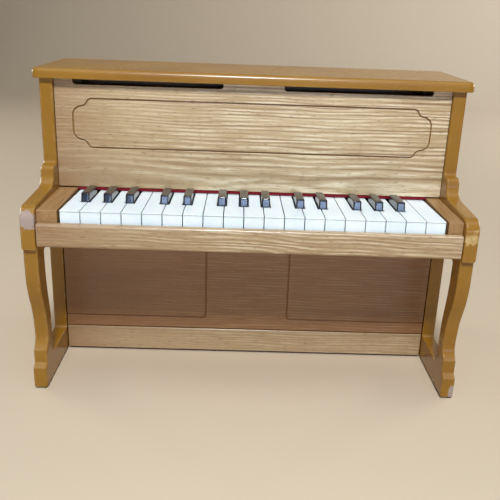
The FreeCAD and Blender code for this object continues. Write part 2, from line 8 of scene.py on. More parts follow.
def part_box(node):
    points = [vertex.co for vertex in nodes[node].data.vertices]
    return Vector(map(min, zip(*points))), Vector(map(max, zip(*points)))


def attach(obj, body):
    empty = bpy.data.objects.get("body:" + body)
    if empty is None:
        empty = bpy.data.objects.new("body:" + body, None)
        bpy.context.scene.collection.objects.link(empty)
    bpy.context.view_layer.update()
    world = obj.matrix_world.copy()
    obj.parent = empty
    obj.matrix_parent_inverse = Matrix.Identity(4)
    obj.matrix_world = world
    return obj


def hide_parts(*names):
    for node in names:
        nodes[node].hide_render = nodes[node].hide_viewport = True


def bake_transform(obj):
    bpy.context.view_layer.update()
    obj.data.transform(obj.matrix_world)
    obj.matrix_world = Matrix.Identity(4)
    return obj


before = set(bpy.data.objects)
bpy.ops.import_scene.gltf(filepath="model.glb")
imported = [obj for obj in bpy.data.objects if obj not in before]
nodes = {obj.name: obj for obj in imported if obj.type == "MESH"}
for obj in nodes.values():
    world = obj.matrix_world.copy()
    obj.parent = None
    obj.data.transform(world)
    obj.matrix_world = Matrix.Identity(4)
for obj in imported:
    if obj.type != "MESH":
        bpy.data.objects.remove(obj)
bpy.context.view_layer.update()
mm = 0.001

# Side boards
# Each side of the piano is one board of fibreboard, sawn to the post, arm, curved leg and plinth.
# The edges were rounded over, then the board was sprayed with satin ochre paint.

PAINT = "#986d1e"
PAINT_DEEP = "#8e6219"
PAINT_PALER = "#c6a871"
PRIMER = "#a8958b"
LEFT_NOSE_CHIP = (-201, -102, 175)
LEFT_NOSE_CHIP_REACH = (11, 8, 10.5)
RIGHT_FOOT_CHIP = (206, -93, 6)
RIGHT_FOOT_CHIP_REACH = (5, 7, 10)
# Centre and reach of a paler ragged patch on the right arm's nose.
RIGHT_NOSE_PALE_PATCH = (202, -101, 171)
RIGHT_NOSE_PALE_PATCH_REACH = (9, 7, 9)
PATCH_RAGGEDNESS = 0.7
PATCH_OUTER_EDGE = 1.28
PATCH_INNER_EDGE = 1.18
EDGE_WEAR_WIDTH = 1.8
WORN_FROM = 0.995
WORN_FULL = 0.9
PEEL_WIDTH = 1.5
PEEL_DEPTH = 0.02
PEELS_IN_CHIP_DEPTH = 6.0
WELD_DISTANCE = 0.005
FLAT_DEGREES = 0.5


def linear(code):
    """An sRGB hex colour as the linear RGBA that the shaders take."""
    channels = [int(code[i:i + 2], 16) / 255 for i in (1, 3, 5)]
    return [c / 12.92 if c <= 0.04045 else ((c + 0.055) / 1.055) ** 2.4 for c in channels] + [1.0]


def add_node(tree, kind, settings=None, links=None):
    """Add a node, set its properties and input sockets, and link its inputs to other nodes' outputs."""
    node = tree.nodes.new(kind)
    for key, value in (settings or {}).items():
        if isinstance(key, int) or key in node.inputs:
            node.inputs[key].default_value = value
        else:
            setattr(node, key, value)
    for key, output in (links or {}).items():
        tree.links.new(output, node.inputs[key])
    return node


def start_material(name, **shader_settings):
    """A material, its node tree, its main shader and the piece's own coordinates."""
    material = bpy.data.materials.new(name)
    material.use_nodes = True
    tree = material.node_tree
    shader = tree.nodes["Principled BSDF"]
    for key, value in shader_settings.items():
        shader.inputs[key.replace("_", " ")].default_value = value
    coords = add_node(tree, "ShaderNodeTexCoord").outputs["Object"]
    return material, tree, shader, coords


def marks(tree, coords, size_mm, low, high, detail=2.0):
    """Mask from noise with marks of about size_mm along x, y and z, rising from 0 at low to 1 at high."""
    sized = add_node(
        tree, "ShaderNodeMapping", {"Scale": [1 / (size * mm) for size in size_mm]}, {"Vector": coords}
    )
    noise = add_node(
        tree, "ShaderNodeTexNoise", {"Scale": 1.0, "Detail": detail}, {"Vector": sized.outputs[0]}
    )
    cut = add_node(
        tree, "ShaderNodeMapRange", {"From Min": low, "From Max": high}, {"Value": noise.outputs[0]}
    )
    return cut.outputs[0]


def ragged_patch(tree, coords, centre_mm, reach_mm):
    """Mask of a ragged patch round a given place, such as one where paint has been knocked off."""
    scale = [1 / (reach * mm) for reach in reach_mm]
    shift = [-centre / reach for centre, reach in zip(centre_mm, reach_mm)]
    local = add_node(tree, "ShaderNodeMapping", {"Scale": scale, "Location": shift}, {"Vector": coords})
    away = add_node(tree, "ShaderNodeVectorMath", {"operation": "LENGTH"}, {0: local.outputs[0]})
    ragged = marks(tree, coords, (5, 5, 5), 0.3, 0.7, detail=4.0)
    edge = add_node(
        tree, "ShaderNodeMath", {"operation": "MULTIPLY_ADD", 1: PATCH_RAGGEDNESS},
        {0: ragged, 2: away.outputs["Value"]},
    )
    inside = add_node(
        tree, "ShaderNodeMapRange",
        {"From Min": PATCH_OUTER_EDGE, "From Max": PATCH_INNER_EDGE}, {"Value": edge.outputs[0]},
    )
    return inside.outputs[0]


# Satin paint on fibreboard: even in colour, with a faint orange-peel skin, paler where edges are worn by
# rubbing, and in a ragged patch on the right arm's nose.
painted_board, tree, shader, coords = start_material("satin_paint_on_fibreboard", Roughness=0.25, IOR=1.5)
cloudy = marks(tree, coords, (70, 70, 70), 0.35, 0.65)
colour = add_node(
    tree, "ShaderNodeMix", {"data_type": "RGBA", 6: linear(PAINT), 7: linear(PAINT_DEEP)}, {0: cloudy}
).outputs[2]
rounded_normal = add_node(tree, "ShaderNodeBevel", {"samples": 6, "Radius": EDGE_WEAR_WIDTH * mm})
geometry = add_node(tree, "ShaderNodeNewGeometry")
facing = add_node(
    tree, "ShaderNodeVectorMath", {"operation": "DOT_PRODUCT"},
    {0: rounded_normal.outputs[0], 1: geometry.outputs["Normal"]},
)
edge = add_node(
    tree, "ShaderNodeMapRange",
    {"From Min": WORN_FROM, "From Max": WORN_FULL}, {"Value": facing.outputs["Value"]},
)
patchy = marks(tree, coords, (9, 9, 9), 0.42, 0.66, detail=4.0)
edge_wear = add_node(
    tree, "ShaderNodeMath", {"operation": "MULTIPLY"}, {0: edge.outputs[0], 1: patchy}
).outputs[0]
# A paler ragged patch on the right arm's nose.
nose_pale_patch = add_node(
    tree, "ShaderNodeMath", {"operation": "MULTIPLY"},
    {0: ragged_patch(tree, coords, RIGHT_NOSE_PALE_PATCH, RIGHT_NOSE_PALE_PATCH_REACH), 1: patchy},
).outputs[0]
paler_marks = add_node(
    tree, "ShaderNodeMath", {"operation": "MAXIMUM"}, {0: edge_wear, 1: nose_pale_patch}
).outputs[0]
chips = add_node(
    tree, "ShaderNodeMath", {"operation": "MAXIMUM"},
    {
        0: ragged_patch(tree, coords, LEFT_NOSE_CHIP, LEFT_NOSE_CHIP_REACH),
        1: ragged_patch(tree, coords, RIGHT_FOOT_CHIP, RIGHT_FOOT_CHIP_REACH),
    },
).outputs[0]
for mask, shade in ((paler_marks, PAINT_PALER), (chips, PRIMER)):
    colour = add_node(
        tree, "ShaderNodeMix", {"data_type": "RGBA", 7: linear(shade)}, {0: mask, 6: colour}
    ).outputs[2]
tree.links.new(colour, shader.inputs["Base Color"])
sheen_drift = marks(tree, coords, (25, 25, 40), 0.3, 0.7, detail=3.0)
roughness = add_node(
    tree, "ShaderNodeMapRange", {"To Min": 0.23, "To Max": 0.28}, {"Value": sheen_drift}
).outputs[0]
tree.links.new(roughness, shader.inputs["Roughness"])
# The peel of sprayed paint is about 0.6 mm wide; it is drawn wider so that it shows.
peel = marks(tree, coords, (PEEL_WIDTH, PEEL_WIDTH, PEEL_WIDTH), 0.2, 0.8)
skin = add_node(
    tree, "ShaderNodeMath", {"operation": "MULTIPLY_ADD", 1: -PEELS_IN_CHIP_DEPTH}, {0: chips, 2: peel}
).outputs[0]
bump = add_node(
    tree, "ShaderNodeBump", {"Strength": 0.15, "Distance": PEEL_DEPTH * mm}, {"Height": skin}
)
tree.links.new(bump.outputs[0], shader.inputs["Normal"])

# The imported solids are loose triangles, so each is merged and smoothed before its edges are rounded.
merged = bpy.data.node_groups.new("merged_and_smooth", "GeometryNodeTree")
merged.interface.new_socket("Geometry", in_out="INPUT", socket_type="NodeSocketGeometry")
merged.interface.new_socket("Geometry", in_out="OUTPUT", socket_type="NodeSocketGeometry")
loose = add_node(merged, "NodeGroupInput").outputs[0]
for attribute in ("custom_normal", "sharp_edge"):
    loose = add_node(
        merged, "GeometryNodeRemoveAttribute", {"Name": attribute}, {"Geometry": loose}
    ).outputs[0]
joined = add_node(
    merged, "GeometryNodeMergeByDistance", {"Distance": WELD_DISTANCE * mm}, {"Geometry": loose}
)
smooth = add_node(merged, "GeometryNodeSetShadeSmooth", links={"Geometry": joined.outputs[0]})
add_node(merged, "NodeGroupOutput", links={0: smooth.outputs[0]})


def finish_node(name, material, edge_mm, segments=3, sharp_degrees=28):
    """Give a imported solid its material, and round its edges that turn by sharp_degrees or more."""
    piece = nodes[name]
    piece.data.materials.clear()
    piece.data.materials.append(material)
    piece.modifiers.new("merged", "NODES").node_group = merged
    flat = piece.modifiers.new("flat faces", "DECIMATE")
    flat.decimate_type = "DISSOLVE"
    flat.angle_limit = math.radians(FLAT_DEGREES)
    rounding = piece.modifiers.new("rounded edges", "BEVEL")
    rounding.width = edge_mm * mm
    rounding.segments = segments
    rounding.limit_method = "ANGLE"
    rounding.angle_limit = math.radians(sharp_degrees)
    even = piece.modifiers.new("even shading", "WEIGHTED_NORMAL")
    even.weight = 80
    even.keep_sharp = False


for name in ("left_side_board", "right_side_board"):
    finish_node(name, painted_board, edge_mm=0.6)

# Bottom board, keybed, back posts, cleats and tube board
# Plain unpainted boards inside and under the cabinet, of pale fibreboard with sawn edges.
# They are glued between the side boards, and the tube board is screwed to the back posts.

FIBREBOARD = "#b8976a"
FIBREBOARD_DARK = "#93734a"
FIBRE_DEPTH = 0.06

# Bare fibreboard: short wood fibres pressed together, matt, with a fine darker fleck.
bare_board, tree, shader, coords = start_material("bare_fibreboard", Roughness=0.8, IOR=1.45)
fleck = marks(tree, coords, (2.5, 1.0, 1.0), 0.45, 0.7, detail=5.0)
cloudy = marks(tree, coords, (60, 60, 60), 0.35, 0.65)
shade = add_node(
    tree, "ShaderNodeMath", {"operation": "MULTIPLY_ADD", 1: 0.3}, {0: cloudy, 2: fleck}
).outputs[0]
colour = add_node(
    tree, "ShaderNodeMix",
    {"data_type": "RGBA", 6: linear(FIBREBOARD), 7: linear(FIBREBOARD_DARK)}, {0: shade},
).outputs[2]
tree.links.new(colour, shader.inputs["Base Color"])
bump = add_node(tree, "ShaderNodeBump", {"Strength": 0.5, "Distance": FIBRE_DEPTH * mm}, {"Height": fleck})
tree.links.new(bump.outputs[0], shader.inputs["Normal"])

for name in (
    "bottom_board", "keybed", "back_posts", "upper_panel_cleats", "lower_panel_cleats", "tube_board",
):
    finish_node(name, bare_board, edge_mm=0.3, segments=2)

# Lower panel, bottom rail, upper panel and key slip
# Thin boards faced with ash veneer, its grain running along the keyboard, under a clear lacquer.
# They are glued between the side boards, and the lines on the panels were routed after veneering.

ASH = "#b2956a"
ASH_PALE = "#cab28a"
ASH_SHADED = "#a1855f"
ASH_SHADED_PALE = "#b39873"
# Darker, warmer ash: painted shade, on the lower panel under the keybed and at the left end of the sheets.
ASH_PAINTED_SHADE = "#875d38"
ASH_PAINTED_SHADE_PALE = "#986c42"
ASH_LATE_WOOD = "#86633a"
ASH_PORE = "#6b4c28"
# Pale spring wood, drawn paler still as a painted sheen along the grain.
ASH_SPRING_WOOD_AND_SHEEN = "#ead9b6"
ASH_CUT = "#855f1e"
# A paler cut colour for the lower panel: painted light in its shaded grooves.
ASH_CUT_PAINTED_LIGHT = "#925f2a"
RING_SPACING = 3.0
RING_TREMBLE = 7.0
PORE_WIDTH = 1.1
RELIEF_DEPTH = 0.18
UNCHANGING = 400
PLAIN_END = -150
FIGURED_FROM = 0
# Where the painted shade at the left end of the sheets is darkest, and where it has faded out.
PAINTED_SHADE_END = -190
PAINTED_SHADE_TO = -125
ROUTED_FROM = 0.3
ROUTED_FULL = 0.8

panel_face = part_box("upper_panel")[0].y


def ash_veneer(name, heart_mm, sway_mm, leaf, figure, cut):
    """Lacquered ash sliced past the heart of the log, so its rings lie wide apart level with the heart.

    heart_mm is the height of the heart and how far it lay behind the slice, sway_mm is how much this
    varies along the board, and figure is how strongly the rings show. Pale spring wood stands proud of
    the dark late wood and the open pores, and its streaks are drawn paler still as a painted sheen. cut is
    the colour of the wood that the cutter laid bare in routed lines and seams; on the lower panel it is
    drawn paler, as painted light in its shaded grooves. The figure is unchanging from the board's face
    to its back.
    """
    material, tree, shader, coords = start_material(
        name, Roughness=0.4, IOR=1.5, Coat_Weight=0.5, Coat_Roughness=0.22
    )
    split = add_node(tree, "ShaderNodeSeparateXYZ", links={0: coords}).outputs
    across = add_node(
        tree, "ShaderNodeMath", {"operation": "ADD"}, {0: split["Z"], 1: split["Y"]}
    ).outputs[0]
    tremble = marks(tree, coords, (110, UNCHANGING, 9), 0.0, 1.0)
    sway = marks(tree, coords, (170, UNCHANGING, UNCHANGING), 0.0, 1.0, detail=1.0)
    rise = add_node(
        tree, "ShaderNodeMath", {"operation": "MULTIPLY_ADD", 1: RING_TREMBLE * mm}, {0: tremble, 2: across}
    ).outputs[0]
    rise = add_node(
        tree, "ShaderNodeMath", {"operation": "SUBTRACT", 1: heart_mm[0] * mm}, {0: rise}
    ).outputs[0]
    depth = add_node(
        tree, "ShaderNodeMath",
        {"operation": "MULTIPLY_ADD", 1: sway_mm * mm, 2: heart_mm[1] * mm}, {0: sway},
    ).outputs[0]
    from_heart = add_node(tree, "ShaderNodeCombineXYZ", links={"Y": depth, "Z": rise}).outputs[0]
    radius = add_node(
        tree, "ShaderNodeVectorMath", {"operation": "LENGTH"}, {0: from_heart}
    ).outputs["Value"]
    turns = add_node(
        tree, "ShaderNodeMath", {"operation": "MULTIPLY", 1: math.tau / (RING_SPACING * mm)}, {0: radius}
    ).outputs[0]
    rings = add_node(tree, "ShaderNodeMath", {"operation": "SINE"}, {0: turns}).outputs[0]
    # The sheets are plainer towards their left end, where the painted sheen on the spring wood fades with
    # the rings, and each year's growth comes and goes along the board.
    plain = add_node(
        tree, "ShaderNodeMapRange",
        {"From Min": PLAIN_END * mm, "From Max": FIGURED_FROM * mm, "To Min": 0.2, "To Max": 1.0},
        {"Value": split["X"]},
    ).outputs[0]
    bands = []
    for stretches, low, high in (
        (marks(tree, coords, (140, UNCHANGING, 5), 0.36, 0.62), 0.1, 1.0),
        (marks(tree, coords, (40, UNCHANGING, 4), 0.4, 0.6), 0.2, -0.8),
    ):
        shown = add_node(
            tree, "ShaderNodeMath", {"operation": "MULTIPLY"}, {0: stretches, 1: plain}
        ).outputs[0]
        band = add_node(
            tree, "ShaderNodeMapRange", {"From Min": low, "From Max": high}, {"Value": rings}
        ).outputs[0]
        bands.append(
            add_node(tree, "ShaderNodeMath", {"operation": "MULTIPLY"}, {0: band, 1: shown}).outputs[0]
        )
    late, spring = bands
    # Ash pores are about 0.3 mm wide; they are drawn wider so that they show.
    pores = marks(tree, coords, (8, UNCHANGING, PORE_WIDTH), 0.57, 0.7)
    drift = marks(tree, coords, (260, UNCHANGING, 40), 0.32, 0.68)
    colour = add_node(
        tree, "ShaderNodeMix", {"data_type": "RGBA", 6: linear(leaf[0]), 7: linear(leaf[1])}, {0: drift}
    ).outputs[2]
    # Along the last few centimetres of the left end the sheets are darker: painted shade.
    left_end_shade = add_node(
        tree, "ShaderNodeMapRange",
        {"From Min": PAINTED_SHADE_END * mm, "From Max": PAINTED_SHADE_TO * mm, "To Min": 0.5, "To Max": 0.0},
        {"Value": split["X"]},
    ).outputs[0]
    # The cutter went through the veneer, so what lies behind the panels' face has the colour of the cut.
    routed = add_node(
        tree, "ShaderNodeMapRange",
        {"From Min": panel_face + ROUTED_FROM * mm, "From Max": panel_face + ROUTED_FULL * mm},
        {"Value": split["Y"]},
    ).outputs[0]
    # Spring wood is mixed in paler still, as a painted sheen along the grain.
    for mask, shade, share in (
        (left_end_shade, ASH_PAINTED_SHADE, 1.0), (late, ASH_LATE_WOOD, 0.85 * figure),
        (spring, ASH_SPRING_WOOD_AND_SHEEN, 0.85 * figure), (pores, ASH_PORE, 0.5), (routed, cut, 1.0),
    ):
        amount = add_node(tree, "ShaderNodeMath", {"operation": "MULTIPLY", 1: share}, {0: mask}).outputs[0]
        colour = add_node(
            tree, "ShaderNodeMix", {"data_type": "RGBA", 7: linear(shade)}, {0: amount, 6: colour}
        ).outputs[2]
    tree.links.new(colour, shader.inputs["Base Color"])
    roughness = add_node(
        tree, "ShaderNodeMapRange", {"To Min": 0.38, "To Max": 0.55}, {"Value": pores}
    ).outputs[0]
    tree.links.new(roughness, shader.inputs["Roughness"])
    sunk = add_node(tree, "ShaderNodeMath", {"operation": "ADD"}, {0: late, 1: pores}).outputs[0]
    relief = add_node(tree, "ShaderNodeMath", {"operation": "SUBTRACT"}, {0: spring, 1: sunk}).outputs[0]
    bump = add_node(
        tree, "ShaderNodeBump",
        {"Strength": 0.7, "Distance": RELIEF_DEPTH * mm * figure}, {"Height": relief},
    )
    tree.links.new(bump.outputs[0], shader.inputs["Normal"])
    tree.links.new(bump.outputs[0], shader.inputs["Coat Normal"])
    return material


# On the lower panel the cut colour is paler: painted light in its shaded grooves.
for name, heart_mm, sway_mm, leaf, figure, cut in (
    # The lower panel's darker, warmer leaf is painted shade under the keybed.
    ("lower_panel", (-40, 20), 16, (ASH_PAINTED_SHADE_PALE, ASH_PAINTED_SHADE), 0.15, ASH_CUT_PAINTED_LIGHT),
    ("bottom_rail", (110, 30), 25, (ASH_SHADED_PALE, ASH_SHADED), 0.35, ASH_CUT),
    ("upper_panel", (184, 38), 12, (ASH_PALE, ASH), 1.0, ASH_CUT),
    ("key_slip", (-20, 20), 70, (ASH_SHADED_PALE, ASH_SHADED), 0.7, ASH_SHADED),
):
    veneer = ash_veneer(f"lacquered_ash_{name}", heart_mm, sway_mm, leaf, figure, cut)
    finish_node(name, veneer, edge_mm=0.4, segments=2)

# Lid
# One fibreboard top, rounded along the upper rim of its front and ends and sprayed with the same paint.
# It is glued down on the side boards and stands out past the posts and the panel.

finish_node("lid", painted_board, edge_mm=1.0)

# Cheek blocks
# Small blocks of solid beech that close the keyboard at its two ends, glued to the keybed and side boards.
# They have one thin coat of a paler paint, and the left one is wider than the right one.

THIN_PAINT = "#aa8557"
THIN_PAINT_DARK = "#957045"
GRAIN_DEPTH = 0.03

# Thin paint on beech: the grain, which runs from front to back, shows through as faint darker streaks.
painted_beech, tree, shader, coords = start_material("thin_paint_on_beech", Roughness=0.4, IOR=1.5)
grain = marks(tree, coords, (1.6, 40, 1.6), 0.4, 0.7, detail=3.0)
cloudy = marks(tree, coords, (14, 60, 14), 0.35, 0.65)
shade = add_node(
    tree, "ShaderNodeMath", {"operation": "MULTIPLY_ADD", 1: 0.4}, {0: cloudy, 2: grain}
).outputs[0]
colour = add_node(
    tree, "ShaderNodeMix",
    {"data_type": "RGBA", 6: linear(THIN_PAINT), 7: linear(THIN_PAINT_DARK)}, {0: shade},
).outputs[2]
tree.links.new(colour, shader.inputs["Base Color"])
roughness = add_node(
    tree, "ShaderNodeMapRange", {"To Min": 0.34, "To Max": 0.5}, {"Value": grain}
).outputs[0]
tree.links.new(roughness, shader.inputs["Roughness"])
bump = add_node(tree, "ShaderNodeBump", {"Strength": 0.3, "Distance": -GRAIN_DEPTH * mm}, {"Height": grain})
tree.links.new(bump.outputs[0], shader.inputs["Normal"])

for name in ("left_cheek_block", "right_cheek_block"):
    finish_node(name, painted_beech, edge_mm=0.8)

# White keys
# Injection-moulded ABS, hollow under the finger end, with a thin lip over the front face.
# Each is one moulding with its lever and hammer, and turns on the steel rod behind the panel.

WHITE = "#f1fcff"
WHITE_SHADED = "#e9f7fc"
SINK_DEPTH = 0.05
SCATTER_REACH = 1.2

# Satin white ABS: slightly cool, with a soft shine that faint handling smears dull further.
white_abs, tree, shader, coords = start_material(
    "satin_white_abs", Roughness=0.43, IOR=1.53, Specular_IOR_Level=0.2,
    Subsurface_Weight=0.08, Subsurface_Scale=SCATTER_REACH * mm,
)
batch = marks(tree, coords, (24, 60, 30), 0.35, 0.65)
colour = add_node(
    tree, "ShaderNodeMix", {"data_type": "RGBA", 6: linear(WHITE), 7: linear(WHITE_SHADED)}, {0: batch}
).outputs[2]
tree.links.new(colour, shader.inputs["Base Color"])
smears = marks(tree, coords, (7, 16, 10), 0.4, 0.7, detail=4.0)
roughness = add_node(
    tree, "ShaderNodeMapRange", {"To Min": 0.38, "To Max": 0.48}, {"Value": smears}
).outputs[0]
tree.links.new(roughness, shader.inputs["Roughness"])
sink = marks(tree, coords, (14, 22, 14), 0.2, 0.8, detail=1.0)
bump = add_node(tree, "ShaderNodeBump", {"Strength": 0.1, "Distance": SINK_DEPTH * mm}, {"Height": sink})
tree.links.new(bump.outputs[0], shader.inputs["Normal"])

for name in nodes:
    if name.startswith("white_key"):
        finish_node(name, white_abs, edge_mm=0.35)

# Black keys
# Injection-moulded black ABS with a sloped front and drafted sides, fixed and worked as the whites are.
# Their edges are softly rounded and polished.

BLACK = "#0f1013"
BLACK_DUSTY = "#24262b"
CROWN_WIDTH = 1.6
RUB_DEPTH = 0.03

# Polished black ABS: deep and glossy, crowned towards its edges, with fine rub marks and a little dust.
black_abs, tree, shader, coords = start_material("polished_black_abs", Roughness=0.15, IOR=1.53)
dust = marks(tree, coords, (3, 5, 3), 0.5, 0.8, detail=5.0)
colour = add_node(
    tree, "ShaderNodeMix", {"data_type": "RGBA", 6: linear(BLACK), 7: linear(BLACK_DUSTY)}, {0: dust}
).outputs[2]
tree.links.new(colour, shader.inputs["Base Color"])
# Rub marks are about 0.1 mm wide; they are drawn wider so that they show.
rubs = marks(tree, coords, (0.9, 14, 4), 0.45, 0.75, detail=3.0)
roughness = add_node(
    tree, "ShaderNodeMapRange", {"To Min": 0.12, "To Max": 0.18}, {"Value": rubs}
).outputs[0]
tree.links.new(roughness, shader.inputs["Roughness"])
crown = add_node(tree, "ShaderNodeBevel", {"samples": 8, "Radius": CROWN_WIDTH * mm}).outputs[0]
bump = add_node(
    tree, "ShaderNodeBump",
    {"Strength": 0.03, "Distance": RUB_DEPTH * mm}, {"Height": rubs, "Normal": crown},
)
tree.links.new(bump.outputs[0], shader.inputs["Normal"])

for name in nodes:
    if name.startswith("black_key"):
        finish_node(name, black_abs, edge_mm=0.35, sharp_degrees=8)

# Felts
# A red strip under the upper panel that the keys pass below, and plain strips that stop and rest the keys.
# Cut from wool felt sheet and glued down.

RED = "#900a1c"
RED_DARK = "#580614"
GREY = "#5d5a55"
GREY_DARK = "#3d3b38"
FELT_DEPTH = 0.25


def wool_felt(name, pale, dark):
    """Pressed wool: no gloss, a soft sheen, and tangled fibres about a millimetre long."""
    material, tree, shader, coords = start_material(
        name, Roughness=0.95, Sheen_Weight=0.35, Sheen_Roughness=0.5, Specular_IOR_Level=0.2
    )
    fibres = marks(tree, coords, (1.4, 1.0, 0.7), 0.3, 0.7, detail=6.0)
    colour = add_node(
        tree, "ShaderNodeMix", {"data_type": "RGBA", 6: linear(dark), 7: linear(pale)}, {0: fibres}
    ).outputs[2]
    tree.links.new(colour, shader.inputs["Base Color"])
    bump = add_node(
        tree, "ShaderNodeBump", {"Strength": 0.8, "Distance": FELT_DEPTH * mm}, {"Height": fibres}
    )
    tree.links.new(bump.outputs[0], shader.inputs["Normal"])
    return material


finish_node("nameboard_felt", wool_felt("red_wool_felt", RED, RED_DARK), edge_mm=0.5)
grey_felt = wool_felt("grey_wool_felt", GREY, GREY_DARK)
for name in ("front_stop_felt", "rear_rest_felt"):
    finish_node(name, grey_felt, edge_mm=0.4)

# Key action
# A moulded comb carries the steel rod that the keys turn on, and a guide rail keeps them in line.
# A sheet-bronze spring comb lifts each key back. All are fixed to the keybed behind the slip.

ACTION_PLASTIC = "#3a3d42"
ACTION_PLASTIC_PALE = "#4d5157"
STEEL = "#b9bbbd"
BRONZE = "#b58c53"
SPARK_DEPTH = 0.03
SCRATCH_DEPTH = 0.02
SPRING_THICKNESS = 0.6
STRIP_DEPTH = 8.0
TIP_MARGIN = 0.1
TINE_STEPS = 12

# Textured dark polypropylene: matt, with the fine spark grain of the mould.
polypropylene, tree, shader, coords = start_material("dark_polypropylene", Roughness=0.5, IOR=1.49)
# The grain is about 0.2 mm across; it is drawn coarser so that it shows.
spark = marks(tree, coords, (0.8, 0.8, 0.8), 0.35, 0.65, detail=3.0)
colour = add_node(
    tree, "ShaderNodeMix",
    {"data_type": "RGBA", 6: linear(ACTION_PLASTIC), 7: linear(ACTION_PLASTIC_PALE)}, {0: spark},
).outputs[2]
tree.links.new(colour, shader.inputs["Base Color"])
bump = add_node(tree, "ShaderNodeBump", {"Strength": 0.4, "Distance": SPARK_DEPTH * mm}, {"Height": spark})
tree.links.new(bump.outputs[0], shader.inputs["Normal"])


def drawn_metal(name, code, size_mm, low, high):
    """Bare metal with fine lines along the way it was drawn or rolled, which spread its shine.

    The real lines are about 0.1 mm apart; size_mm draws them coarser so that they show.
    """
    material, tree, shader, coords = start_material(name, Base_Color=linear(code), Metallic=1.0)
    scratches = marks(tree, coords, size_mm, 0.35, 0.65, detail=3.0)
    roughness = add_node(
        tree, "ShaderNodeMapRange", {"To Min": low, "To Max": high}, {"Value": scratches}
    ).outputs[0]
    tree.links.new(roughness, shader.inputs["Roughness"])
    bump = add_node(
        tree, "ShaderNodeBump", {"Strength": 0.2, "Distance": SCRATCH_DEPTH * mm}, {"Height": scratches}
    )
    tree.links.new(bump.outputs[0], shader.inputs["Normal"])
    return material


bright_steel = drawn_metal("bright_drawn_steel", STEEL, (20, 0.5, 0.5), 0.2, 0.35)
spring_bronze = drawn_metal("rolled_spring_bronze", BRONZE, (0.6, 12, 0.6), 0.22, 0.4)
for name in ("pivot_comb", "key_guide_rail"):
    finish_node(name, polypropylene, edge_mm=0.2, segments=2)
finish_node("pivot_rod", bright_steel, edge_mm=0.2, segments=2)


def corners_in(geometry):
    """The vertices among what a bmesh operator made."""
    return [part for part in geometry if isinstance(part, bmesh.types.BMVert)]


def add_piece(name, mesh, material):
    """An object in the scene made from a finished bmesh, with its material."""
    piece_mesh = bpy.data.meshes.new(name)
    mesh.to_mesh(piece_mesh)
    mesh.free()
    piece_mesh.materials.append(material)
    piece = bpy.data.objects.new(name, piece_mesh)
    bpy.context.scene.collection.objects.link(piece)
    return piece


def spring_leaf(name, left, right, rear, front, steps):
    """A leaf of spring sheet between two x, and between the y and z of its underside at rear and front."""
    mesh = bmesh.new()
    bmesh.ops.create_grid(mesh, x_segments=1, y_segments=steps, size=0.5)
    placed = Matrix((
        (right - left, 0, 0, (left + right) / 2),
        (0, rear[0] - front[0], 0, (rear[0] + front[0]) / 2),
        (0, rear[1] - front[1], 1, (rear[1] + front[1]) / 2),
        (0, 0, 0, 1),
    ))
    bmesh.ops.transform(mesh, matrix=placed, verts=mesh.verts)
    upper = bmesh.ops.extrude_face_region(mesh, geom=list(mesh.faces))["geom"]
    bmesh.ops.translate(mesh, verts=corners_in(upper), vec=(0, 0, SPRING_THICKNESS * mm))
    bmesh.ops.recalc_face_normals(mesh, faces=mesh.faces)
    leaf = add_piece(name, mesh, spring_bronze)
    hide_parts("return_spring_comb")
    return leaf


# The strip stays on the keybed, and one tine runs from its root under each key.
comb_low, comb_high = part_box("return_spring_comb")
comb_corners = [corner.co for corner in nodes["return_spring_comb"].data.vertices]
tine_sides = sorted({round(co.x, 5) for co in comb_corners if co.y < comb_low.y + TIP_MARGIN * mm})
strip_rear = (comb_high.y, comb_low.z)
root = (comb_high.y - STRIP_DEPTH * mm, comb_low.z)
tip = (comb_low.y, comb_high.z - SPRING_THICKNESS * mm)
strip = spring_leaf("return_spring_strip", tine_sides[0], tine_sides[-1], strip_rear, root, steps=1)
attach(strip, "cabinet")
keys = sorted(
    (name for name in nodes if name.startswith(("white_key", "black_key"))),
    key=lambda name: sum(corner.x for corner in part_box(name)),
)
for key, left, right in zip(keys, tine_sides[::2], tine_sides[1::2]):
    tine = spring_leaf(f"spring_tine_{key}", left, right, root, tip, TINE_STEPS)
    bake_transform(tine)

# Tuned tubes and their saddles
# Aluminium tubes cut to their notes, held at their still points in two slotted strips of foam.
# The strips are glued to a board that is screwed to the back posts.

ALUMINIUM = "#d2d4d6"
FOAM = "#4a4a4d"
FOAM_DARK = "#2b2b2e"
CELL_DEPTH = 0.2

drawn_aluminium = drawn_metal("drawn_aluminium", ALUMINIUM, (0.5, 0.5, 25), 0.25, 0.42)
finish_node("tone_tubes", drawn_aluminium, edge_mm=0.1, segments=1)

# Closed-cell foam: dull charcoal with cells about a millimetre across.
foam, tree, shader, coords = start_material("closed_cell_foam", Roughness=0.9)
cells = marks(tree, coords, (1.1, 1.1, 1.1), 0.35, 0.65, detail=4.0)
colour = add_node(
    tree, "ShaderNodeMix", {"data_type": "RGBA", 6: linear(FOAM_DARK), 7: linear(FOAM)}, {0: cells}
).outputs[2]
tree.links.new(colour, shader.inputs["Base Color"])
bump = add_node(tree, "ShaderNodeBump", {"Strength": 0.7, "Distance": CELL_DEPTH * mm}, {"Height": cells})
tree.links.new(bump.outputs[0], shader.inputs["Normal"])
for name in ("upper_tube_saddle", "lower_tube_saddle"):
    finish_node(name, foam, edge_mm=0.3, segments=2)

# Back board
# A thin sheet of hardboard over the whole back, with its smooth side out.
# It is screwed to the two back posts, inside the side boards.

HARDBOARD = "#8a6239"
HARDBOARD_DARK = "#6d4a28"
FLECK_DEPTH = 0.05

